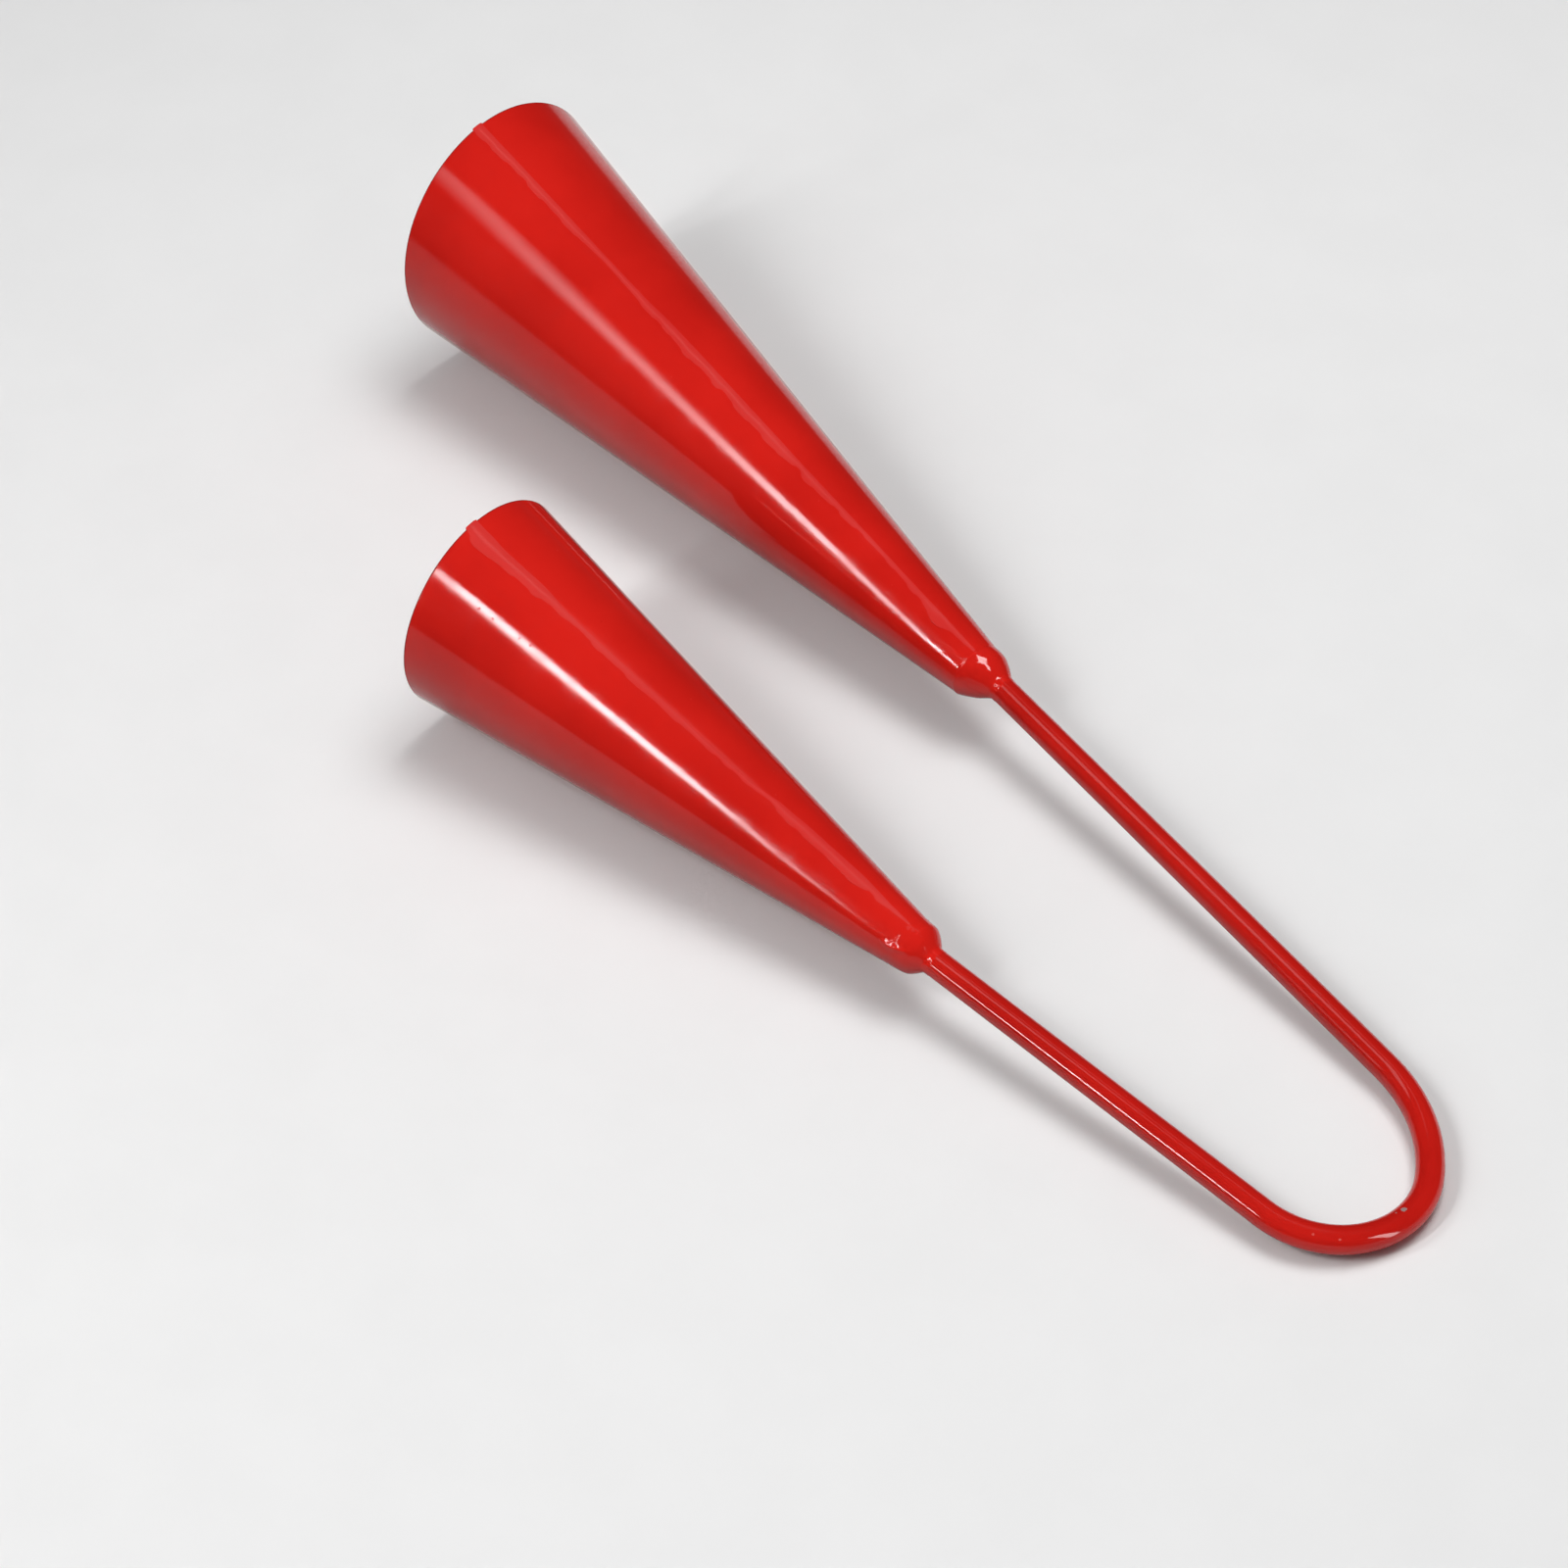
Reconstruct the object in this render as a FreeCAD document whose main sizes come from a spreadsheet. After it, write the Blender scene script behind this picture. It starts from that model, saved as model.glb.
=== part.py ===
import FreeCAD, Part

import math
import os
import Sketcher

# Double bell: two rolled sheet cones on one bent rod. Millimetres and degrees, +Z up, lying at rest.

sizes = {
    # handle: one round rod, bent into a U whose arms splay a little
    "rod_diameter": 4.0,
    "arm_splay": 4.75,
    "bend_radius": 13.5,
    "wide_bend_radius": 24.0,
    "wide_bend_sweep": 47.5,
    "rod_reach": 6.0,
    # sheet of both bells, with the small rounding of its cut rim
    "sheet": 0.8,
    "rim_round": 0.2,
    # large bell
    "large_arm": 87.8,
    "large_length": 115.7,
    "large_mouth_diameter": 39.1,
    "large_tip_diameter": 8.5,
    "large_kink": 1.7,
    "large_offset": 0.9,
    "large_mouth_slant": 9.6,
    "large_mouth_turn": -42.5,
    "large_seam_turn": 80.0,
    "large_nose": 4.1,
    "large_swell": 0.15,
    # small bell
    "small_arm": 63.2,
    "small_length": 85.5,
    "small_mouth_diameter": 32.6,
    "small_tip_diameter": 8.0,
    "small_kink": -1.05,
    "small_offset": 0.0,
    "small_mouth_slant": 5.75,
    "small_mouth_turn": -33.5,
    "small_seam_turn": 82.0,
    "small_nose": 4.0,
    "small_swell": 0.55,
    # seam bead, dressed flat, which fills the slit between the edges of the rolled sheet
    "seam_mouth_width": 1.5,
    "seam_tip_width": 2.1,
    "seam_proud": 0.05,
    "seam_overrun": 0.35,
    # weld bead that closes each narrow end round the rod: a dome with a ring of lumps on its shoulder
    "weld_lap": 0.9,
    "weld_proud": 0.1,
    "lump_radius": 1.5,
    "lump_proud": 0.08,
    "lump_near": 0.3,
    "lump_far": 0.55,
    "lump_unlike": 0.18,
    "lump_stray": 14.0,
}
blank_spare = 1.0  # how far each rolled cone runs past its slanted mouth before it is trimmed
weld_lumps = 6
lump_wave = 2.3  # radians from one lump to the next, in the wave that makes them unlike
dome_shares = (0.0, 0.3, 0.6, 0.85, 1.0)  # places of the dome's sections, from the sheet's end to its nose
bend_points, rim_steps = 120, 720  # points that stand for each arc of the bend and for each rim at rest
bells = ("large", "small")

os.makedirs("parts", exist_ok=True)
doc = FreeCAD.newDocument("double_bell")
dims = doc.addObject("Spreadsheet::Sheet", "dims")
for row, (word, number) in enumerate(sizes.items(), 1):
    dims.set("A%d" % row, word)
    dims.set("B%d" % row, str(number))
    dims.setAlias("B%d" % row, word)
doc.recompute()


def size(word):
    return float(getattr(dims, word))


def value(text):
    """The number that an expression over the sheet comes to."""
    found = dims.evalExpression(text)
    return float(getattr(found, "Value", found))


def attach(item, body, plane):
    origin = [f for f in body.Origin.OriginFeatures if f.Role == plane][0]
    item.AttachmentSupport = [(origin, "")]
    item.MapMode = "FlatFace"
    return item


def new_sketch(body, name, plane):
    return attach(body.newObject("Sketcher::SketchObject", name), body, plane)


def pin(sketch, line, end, place):
    """Holds one end of a line at a pair of expressions."""
    for way, text in zip(("DistanceX", "DistanceY"), place):
        held = sketch.addConstraint(Sketcher.Constraint(way, -1, 1, line, end, value(text)))
        sketch.setExpression("Constraints[%d]" % held, text)


def draw_polygon(sketch, corners):
    """A closed outline with its corners at pairs of expressions."""
    spots = [FreeCAD.Vector(value(a), value(b), 0) for a, b in corners]
    count = len(spots)
    for i in range(count):
        sketch.addGeometry(Part.LineSegment(spots[i], spots[(i + 1) % count]))
    for i in range(count):
        sketch.addConstraint(Sketcher.Constraint("Coincident", i, 2, (i + 1) % count, 1))
        pin(sketch, i, 1, corners[i])


def tilt(sketch, axis, text, base=("0", "0", "0")):
    """Turns a sketch about one of its own axes, and shifts it, within its plane's frame."""
    sketch.AttachmentOffset = FreeCAD.Placement(FreeCAD.Vector(), FreeCAD.Rotation(axis, 1))
    sketch.setExpression("AttachmentOffset.Rotation.Angle", text)
    for letter, shift in zip("xyz", base):
        sketch.setExpression("AttachmentOffset.Base." + letter, shift)


# sizes of a bell as expressions, along the bell's own axis from its narrow end


def flare(bell):
    return "((dims.{0}_mouth_diameter - dims.{0}_tip_diameter) / 2 / dims.{0}_length)".format(bell)


def outer_radius(bell, along):
    return "(dims.%s_tip_diameter / 2 + %s * (%s))" % (bell, flare(bell), along)


def wall_rise(bell):
    return "(dims.sheet * sqrt(1 + %s ^ 2))" % flare(bell)


def slant(bell):
    return "tan(dims.%s_mouth_slant * 1deg)" % bell


def blank_length(bell):
    return "(dims.{0}_length + dims.{0}_mouth_diameter * {1} + {2})".format(bell, slant(bell), blank_spare)


def seam_turn(bell):
    return "(dims.{0}_seam_turn - dims.{0}_mouth_turn)".format(bell)


def cut_mouth(body, bell, out):
    """Trims a body to the slanted plane of the mouth, moved out by the given length."""
    middle = "dims.%s_length + %s" % (bell, out)
    wide = "dims.%s_mouth_diameter" % bell
    lean = "%s * %s" % (slant(bell), wide)
    sketch = new_sketch(body, body.Name + "_mouth_line", "XY_Plane")
    draw_polygon(sketch, [
        ("%s - %s" % (middle, lean), wide),
        ("%s + %s" % (middle, wide), wide),
        ("%s + %s" % (middle, wide), "-" + wide),
        ("%s + %s" % (middle, lean), "-" + wide),
    ])
    cut = body.newObject("PartDesign::Pocket", body.Name + "_mouth")
    cut.Profile = sketch
    cut.Type = "ThroughAll"
    cut.SideType = "Symmetric"
    return cut


def seam_loft(body, bell, kind, inside, outside):
    """A tapering bar along the seam, from below the sheet's inner face to above its outer face."""
    sections = []
    for name, along, share in (("tip", "0", "0"), ("far", blank_length(bell), "1")):
        reach = "%s / dims.%s_length * %s" % (blank_length(bell), bell, share)
        half = "(dims.seam_tip_width + (dims.seam_mouth_width - dims.seam_tip_width) * %s) / 2" % reach
        low = "%s - %s - %s" % (outer_radius(bell, along), wall_rise(bell), inside)
        high = "%s + %s" % (outer_radius(bell, along), outside)
        sketch = new_sketch(body, "%s_%s_section" % (body.Name, name), "YZ_Plane")
        draw_polygon(sketch, [("-" + half, low), (half, low), (half, high), ("-" + half, high)])
        tilt(sketch, FreeCAD.Vector(0, 0, 1), "%s - 90" % seam_turn(bell), ("0", "0", along))
        sections.append(sketch)
    loft = body.newObject("PartDesign::" + kind, body.Name + "_bar")
    loft.Profile = sections[0]
    loft.Sections = sections[1:]
    loft.Ruled = True
    return loft


def make_bell(bell):
    body = doc.addObject("PartDesign::Body", bell + "_bell")
    sketch = new_sketch(body, bell + "_wall", "XY_Plane")
    far = blank_length(bell)
    draw_polygon(sketch, [
        ("0", outer_radius(bell, "0")),
        (far, outer_radius(bell, far)),
        (far, "%s - %s" % (outer_radius(bell, far), wall_rise(bell))),
        ("0", "%s - %s" % (outer_radius(bell, "0"), wall_rise(bell))),
    ])
    cone = body.newObject("PartDesign::Revolution", bell + "_cone")
    cone.Profile = sketch
    cone.ReferenceAxis = (sketch, ["H_Axis"])
    cone.Angle = 360
    mouth = cut_mouth(body, bell, "0")
    doc.recompute()
    lean = value(slant(bell))
    rim = [
        "Edge%d" % (i + 1)
        for i, edge in enumerate(mouth.Shape.Edges)
        if all(abs(p.x - size(bell + "_length") + lean * p.y) < 1e-4 for p in edge.discretize(9))
    ]
    rounded = body.newObject("PartDesign::Fillet", bell + "_rim")
    rounded.Base = (mouth, rim)
    rounded.setExpression("Radius", "dims.rim_round")
    doc.recompute()
    before = rounded.Shape.Volume
    slit = seam_loft(body, bell, "SubtractiveLoft", "dims.sheet", "dims.sheet")
    doc.recompute()
    removed = before - slit.Shape.Volume
    print(bell, "seam slit takes out", round(removed, 2), "mm3")
    if len(rim) != 2 or removed <= 0:
        raise RuntimeError(bell + " bell: the rim or the slit has gone wrong")
    return body


def make_seam(bell):
    body = doc.addObject("PartDesign::Body", bell + "_bell_seam")
    seam_loft(body, bell, "AdditiveLoft", "dims.seam_proud", "dims.seam_proud")
    cut_mouth(body, bell, "dims.seam_overrun")
    return body


def make_rod():
    body = doc.addObject("PartDesign::Body", "handle_rod")
    path = new_sketch(body, "rod_path", "XY_Plane")
    splay = math.radians(size("arm_splay"))
    tight, wide = size("bend_radius"), size("wide_bend_radius")
    sweep = math.radians(size("wide_bend_sweep"))

    def spoke(angle, radius):
        return FreeCAD.Vector(math.cos(angle), math.sin(angle), 0) * radius

    # polar angles at which the small arm, the joint of the two arcs and the large arm meet the bend
    small_end, large_end = math.pi / 2 + splay, 1.5 * math.pi - splay
    joint = large_end - sweep
    wide_middle = spoke(joint, tight - wide)
    up = FreeCAD.Vector(0, 0, 1)
    large_start = wide_middle + spoke(large_end, wide)
    small_start = spoke(small_end, tight)
    reach = size("rod_reach")
    large_far = large_start + spoke(-splay, size("large_arm") + reach)
    small_far = small_start + spoke(splay, size("small_arm") + reach)
    path.addGeometry(Part.LineSegment(large_far, large_start))
    path.addGeometry(Part.ArcOfCircle(Part.Circle(wide_middle, up, wide), joint, large_end))
    path.addGeometry(Part.ArcOfCircle(Part.Circle(FreeCAD.Vector(), up, tight), small_end, joint))
    path.addGeometry(Part.LineSegment(small_start, small_far))
    path.addConstraint(Sketcher.Constraint("Coincident", 2, 3, -1, 1))
    path.addConstraint(Sketcher.Constraint("Tangent", 0, 2, 1, 2))
    path.addConstraint(Sketcher.Constraint("Tangent", 1, 1, 2, 2))
    path.addConstraint(Sketcher.Constraint("Tangent", 2, 1, 3, 1))
    bound = (
        (Sketcher.Constraint("Radius", 1, wide), "dims.wide_bend_radius"),
        (Sketcher.Constraint("Radius", 2, tight), "dims.bend_radius"),
        (Sketcher.Constraint("Angle", 1, sweep), "dims.wide_bend_sweep * 1deg"),
        (Sketcher.Constraint("Angle", -1, 1, 3, 1, splay), "dims.arm_splay * 1deg"),
        (Sketcher.Constraint("Angle", 0, 2, -1, 1, splay), "dims.arm_splay * 1deg"),
        (Sketcher.Constraint("Distance", 0, size("large_arm") + reach), "dims.large_arm + dims.rod_reach"),
        (Sketcher.Constraint("Distance", 3, size("small_arm") + reach), "dims.small_arm + dims.rod_reach"),
    )
    for constraint, text in bound:
        held = path.addConstraint(constraint)
        path.setExpression("Constraints[%d]" % held, text)
    doc.recompute()
    ring = body.newObject("Sketcher::SketchObject", "rod_section")
    ring.AttachmentSupport = [(path, "Edge1")]
    ring.MapMode = "NormalToEdge"
    ring.MapPathParameter = 0.0
    middle = FreeCAD.Vector()
    ring.addGeometry(Part.Circle(middle, up, size("rod_diameter") / 2))
    ring.addConstraint(Sketcher.Constraint("Coincident", 0, 3, -1, 1))
    held = ring.addConstraint(Sketcher.Constraint("Diameter", 0, size("rod_diameter")))
    ring.setExpression("Constraints[%d]" % held, "dims.rod_diameter")
    rod = body.newObject("PartDesign::AdditivePipe", "rod_sweep")
    rod.Profile = ring
    rod.Spine = (path, [])
    doc.recompute()
    length = path.Shape.Length
    expected = math.pi * (size("rod_diameter") / 2) ** 2 * length
    print("rod", round(length, 1), "mm long, volume off by", round(rod.Shape.Volume - expected, 3), "mm3")
    if path.solve() != 0 or abs(rod.Shape.Volume - expected) > 0.001 * expected:
        raise RuntimeError("the rod's path or its sweep has gone wrong")
    arms = {"large": (large_start, -1), "small": (small_start, 1)}
    shares = [i / bend_points for i in range(bend_points + 1)]
    bend = [wide_middle + spoke(joint + sweep * share, wide) for share in shares]
    bend += [spoke(small_end + (joint - small_end) * share, tight) for share in shares]
    return body, arms, bend


def dome_along(bell, share):
    """Place of the weld's dome along the axis, from the narrow end (share 0) to its nose (share 1)."""
    return "(-dims.%s_nose * %.4f)" % (bell, share)


def dome_radius(bell, share):
    foot = outer_radius(bell, "0")
    drop = "(%s - dims.rod_diameter / 2) * %.4f" % (foot, share)
    return "(%s + dims.weld_proud - %s + dims.%s_swell * %.4f)" % (foot, drop, bell, 4 * share * (1 - share))


def dome_aside(bell, share):
    """How far the dome has gone over from the bell's axis towards the rod's."""
    at_nose = "(dims.{0}_nose * tan(dims.{0}_kink * 1deg) - dims.{0}_offset / cos(dims.{0}_kink * 1deg))"
    return "%s * %.4f" % (at_nose.format(bell), math.sin(share * math.pi / 2))


def make_weld(bell, others):
    """A domed plug of lumpy weld: it laps the outside of the cone's narrow end and fills the inside."""
    body = doc.addObject("PartDesign::Body", bell + "_weld_blank")
    lap = "dims.weld_lap"
    rings = [(lap, "(%s + dims.weld_proud)" % outer_radius(bell, lap), "0")]
    rings += [(dome_along(bell, s), dome_radius(bell, s), dome_aside(bell, s)) for s in dome_shares]
    sections = []
    for i, (along, radius, aside) in enumerate(rings, 1):
        ring = new_sketch(body, "%s_weld_ring_%d" % (bell, i), "YZ_Plane")
        tilt(ring, FreeCAD.Vector(0, 0, 1), "0", (aside, "0", along))
        ring.addGeometry(Part.Circle(FreeCAD.Vector(), FreeCAD.Vector(0, 0, 1), value(radius)))
        ring.addConstraint(Sketcher.Constraint("Coincident", 0, 3, -1, 1))
        held = ring.addConstraint(Sketcher.Constraint("Radius", 0, value(radius)))
        ring.setExpression("Constraints[%d]" % held, radius)
        sections.append(ring)
    dome = body.newObject("PartDesign::AdditiveLoft", bell + "_weld_dome")
    dome.Profile = sections[0]
    dome.Sections = sections[1:]
    for i in range(weld_lumps):
        # lumps follow each other round the shoulder of the dome, alternately nearer the sheet and the rod
        lump = attach(body.newObject("PartDesign::AdditiveSphere", "%s_lump_%d" % (bell, i + 1)), body, "YZ_Plane")
        wave = math.sin(lump_wave * i)
        share = size("lump_far" if i % 2 else "lump_near")
        radius = "dims.lump_radius * (1 + dims.lump_unlike * %.4f)" % wave
        deep = "(%s + dims.lump_proud - %s)" % (dome_radius(bell, share), radius)
        turn = "(%.1f + dims.lump_stray * %.4f) * 1deg" % (360 * i / weld_lumps, wave)
        lump.setExpression("Radius", radius)
        lump.setExpression("AttachmentOffset.Base.x", "%s + %s * cos(%s)" % (dome_aside(bell, share), deep, turn))
        lump.setExpression("AttachmentOffset.Base.y", "%s * sin(%s)" % (deep, turn))
        lump.setExpression("AttachmentOffset.Base.z", dome_along(bell, share))
    weld = body
    for i, other in enumerate(others, 1):
        name = bell + ("_bell_weld" if i == len(others) else "_weld_cut_%d" % i)
        base, weld = weld, doc.addObject("Part::Cut", name)
        weld.Base = base
        weld.Tool = other
    return weld, body


def bell_place(bell, arms):
    """The frames of the bell and of its weld in the plane of the handle: the bell's axis leans and
    sits a little off the arm's line."""
    start, side = arms[bell]
    heading = side * size("arm_splay")
    turn = FreeCAD.Rotation(FreeCAD.Vector(0, 0, 1), heading)
    spot = start + turn.multVec(FreeCAD.Vector(size(bell + "_arm"), size(bell + "_offset"), 0))
    kinked = FreeCAD.Rotation(FreeCAD.Vector(0, 0, 1), heading + size(bell + "_kink"))
    rolled = FreeCAD.Rotation(FreeCAD.Vector(1, 0, 0), size(bell + "_mouth_turn"))
    return FreeCAD.Placement(spot, kinked * rolled), FreeCAD.Placement(spot, kinked)


def rim_points(bell, place):
    """Points round the outer edge of the slanted mouth."""
    lean, grow = value(slant(bell)), value(flare(bell))
    points = []
    for i in range(rim_steps):
        turn = 2 * math.pi * i / rim_steps
        along = size(bell + "_length") - lean * math.cos(turn) * size(bell + "_tip_diameter") / 2
        along = along / (1 + lean * math.cos(turn) * grow)
        radius = size(bell + "_tip_diameter") / 2 + grow * along
        spot = FreeCAD.Vector(along, radius * math.cos(turn), radius * math.sin(turn))
        points.append(place.multVec(spot))
    return points


def lie_down(rims, bend):
    """Turns the plane of the handle so that both rims and the underside of the bend touch the ground."""
    up = FreeCAD.Vector(0, 0, 1)
    for _ in range(20):
        feet = [min(rim, key=up.dot) for rim in rims]
        feet.append(min(bend, key=up.dot) - up * (size("rod_diameter") / 2))
        up = (feet[0] - feet[2]).cross(feet[1] - feet[2]).normalize()
    along = FreeCAD.Vector(1, 0, 0)
    along = (along - up * along.dot(up)).normalize()
    rest = FreeCAD.Rotation(along, up.cross(along), up, "ZXY").inverted()
    return FreeCAD.Placement(FreeCAD.Vector(0, 0, -up.dot(feet[2])), rest)


rod, arms, bend = make_rod()
in_plane = {rod: FreeCAD.Placement()}
rims = []
nodes = [rod]
for bell in bells:
    place, weld_place = bell_place(bell, arms)
    shell, seam = make_bell(bell), make_seam(bell)
    weld, blank = make_weld(bell, [shell, seam, rod])
    in_plane.update({shell: place, seam: place, blank: weld_place})
    rims.append(rim_points(bell, place))
    nodes += [shell, seam, weld]

rest = lie_down(rims, bend)


def settle(shift):
    for item, place in in_plane.items():
        item.Placement = FreeCAD.Placement(shift, FreeCAD.Rotation()) * rest * place
    doc.recompute()


settle(FreeCAD.Vector())
points = [p for node in nodes for p in node.Shape.tessellate(0.02)[0]]
low_x, high_x = min(p.x for p in points), max(p.x for p in points)
low_y, high_y = min(p.y for p in points), max(p.y for p in points)
low_z = min(p.z for p in points)
settle(FreeCAD.Vector(-(low_x + high_x) / 2, -(low_y + high_y) / 2, -low_z))
print("overall %.1f x %.1f mm" % (high_x - low_x, high_y - low_y))

for node in nodes:
    node.Label = node.Name
for item in doc.Objects:
    if "Invalid" in item.State or "Error" in item.State:
        raise RuntimeError(item.Name + " failed: " + ", ".join(item.State))
for node in nodes:
    shape = node.Shape
    if shape.isNull() or not shape.isValid() or len(shape.Solids) != 1:
        raise RuntimeError(node.Name + " has no valid shape in one piece")
    print(node.Name, len(shape.Solids), "solid", round(shape.Volume, 1), "mm3")
    shape.exportStep("parts/%s.step" % node.Label)
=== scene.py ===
import math
import random

import bmesh
import bpy
from mathutils import Matrix, Vector, noise


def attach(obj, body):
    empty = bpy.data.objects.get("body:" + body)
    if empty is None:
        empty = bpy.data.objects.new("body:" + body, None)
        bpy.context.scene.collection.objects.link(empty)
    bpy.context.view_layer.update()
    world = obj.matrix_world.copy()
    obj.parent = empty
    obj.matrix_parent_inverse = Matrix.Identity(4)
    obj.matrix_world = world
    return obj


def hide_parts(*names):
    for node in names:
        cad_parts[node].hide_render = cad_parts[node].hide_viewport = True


# The bell's looks. Lengths are in millimetres and angles in degrees, in the frame of the CAD model.

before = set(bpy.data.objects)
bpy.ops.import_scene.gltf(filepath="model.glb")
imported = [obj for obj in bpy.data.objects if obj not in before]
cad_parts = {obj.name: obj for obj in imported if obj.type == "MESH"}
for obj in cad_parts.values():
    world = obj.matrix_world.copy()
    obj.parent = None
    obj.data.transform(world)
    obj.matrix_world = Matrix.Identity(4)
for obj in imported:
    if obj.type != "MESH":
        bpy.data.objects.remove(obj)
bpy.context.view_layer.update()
print("loaded the model")

mm = 0.001  # one millimetre in metres


def turned(angle, axis):
    return Matrix.Rotation(math.radians(angle), 4, axis)


def spoke(angle, radius):
    return Vector((math.cos(math.radians(angle)), math.sin(math.radians(angle)), 0)) * radius


def eased(table, at):
    # a smooth value between the stations of a table
    for (low, first), (high, last) in zip(table, table[1:]):
        if at <= high:
            share = max(0.0, (at - low) / (high - low))
            return first + (last - first) * share * share * (3 - 2 * share)
    return table[-1][1]


def smoothMax(a, b, soft):
    return (a + b + math.sqrt((a - b) ** 2 + soft ** 2)) / 2


def smoothMin(a, b, soft):
    return (a + b - math.sqrt((a - b) ** 2 + soft ** 2)) / 2


def stepUp(low, high, at):
    share = min(1.0, max(0.0, (at - low) / (high - low)))
    return share * share * (3 - 2 * share)


def noiseShare(spot):
    # smooth noise, from 0 to 1
    return 0.5 + 0.5 * noise.noise(spot)


def turnOff(turn, angle):
    # degrees from an angle to a turn, the short way round
    return (math.degrees(turn) - angle + 180) % 360 - 180


def addPiece(name, node, points, faces, place, sharp=40.0):
    mesh = bpy.data.meshes.new(name)
    mesh.from_pydata([(place @ p) * mm for p in points], [], faces)
    shell = bmesh.new()
    shell.from_mesh(mesh)
    bmesh.ops.recalc_face_normals(shell, faces=shell.faces)
    for face in shell.faces:
        face.smooth = True
    for edge in shell.edges:
        if len(edge.link_faces) == 2 and edge.calc_face_angle(0.0) > math.radians(sharp):
            edge.smooth = False
    loose = sum(1 for edge in shell.edges if len(edge.link_faces) != 2)
    shell.to_mesh(mesh)
    shell.free()
    piece = bpy.data.objects.new(name, mesh)
    bpy.context.scene.collection.objects.link(piece)
    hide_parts(node)
    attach(piece, "root")
    print(name, len(mesh.polygons), "faces,", loose, "open edges")
    return piece


def ringFaces(rings, count, closed=False):
    # quads between neighbouring rings that each have the same number of points
    faces = []
    for i in range(rings if closed else rings - 1):
        low, high = i * count, ((i + 1) % rings) * count
        for j in range(count):
            k = (j + 1) % count
            faces.append((low + j, low + k, high + k, high + j))
    return faces


class Wire:
    # wraps a socket, so that sums on it build math nodes
    def __init__(self, tree, socket=None):
        self.tree = tree
        self.socket = socket

    def make(self, kind, settings=None, inputs=None, output=0):
        node = self.tree.nodes.new("ShaderNode" + kind)
        for word, value in (settings or {}).items():
            setattr(node, word, value)
        for slot, value in (inputs or {}).items():
            if isinstance(value, Wire):
                self.tree.links.new(value.socket, node.inputs[slot])
            else:
                node.inputs[slot].default_value = value
        return Wire(self.tree, node.outputs[output] if len(node.outputs) else None)

    def maths(self, how, first, second=0.0):
        return self.make("Math", {"operation": how}, {0: first, 1: second})

    def __add__(self, other):
        return self.maths("ADD", self, other)

    def __sub__(self, other):
        return self.maths("SUBTRACT", self, other)

    def __mul__(self, other):
        return self.maths("MULTIPLY", self, other)

    def __rsub__(self, other):
        return self.maths("SUBTRACT", other, self)

    __radd__ = __add__
    __rmul__ = __mul__

    def eased(self, low, high):
        # 0 below low, 1 above high, smooth between
        settings = {"interpolation_type": "SMOOTHSTEP"}
        return self.make("MapRange", settings, {"Value": self, "From Min": low, "From Max": high})

    def mixed(self, first, second):
        # self is the share of the second colour
        return self.make("Mix", {"data_type": "RGBA"}, {0: self, 6: first, 7: second}, 2)


# sizes shared with the model; origin, pitch and roll are those of the handle's plane as it lies at rest
handle = {
    "origin": (-97.4675, 4.9175, 3.2111),
    "pitch": -4.7218,
    "roll": 2.0529,
    "diameter": 4.0,
    "splay": 4.75,
    "bendRadius": 13.5,
    "wideRadius": 24.0,
    "wideSweep": 47.5,
    "reach": 6.0,
    "around": 72,
    "step": 1.0,
    "waver": 0.015,
    "waverLength": 9,
    "endShrink": 0.9,
    "tightSteps": 1.5,
}
plane = Matrix.Translation(handle["origin"]) @ turned(handle["pitch"], "Y") @ turned(handle["roll"], "X")
smallEnd = 90 + handle["splay"]
largeEnd = 270 - handle["splay"]
joint = largeEnd - handle["wideSweep"]
wideMiddle = spoke(joint, handle["bendRadius"] - handle["wideRadius"])
starts = {
    "large": wideMiddle + spoke(largeEnd, handle["wideRadius"]),
    "small": spoke(smallEnd, handle["bendRadius"]),
}

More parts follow.
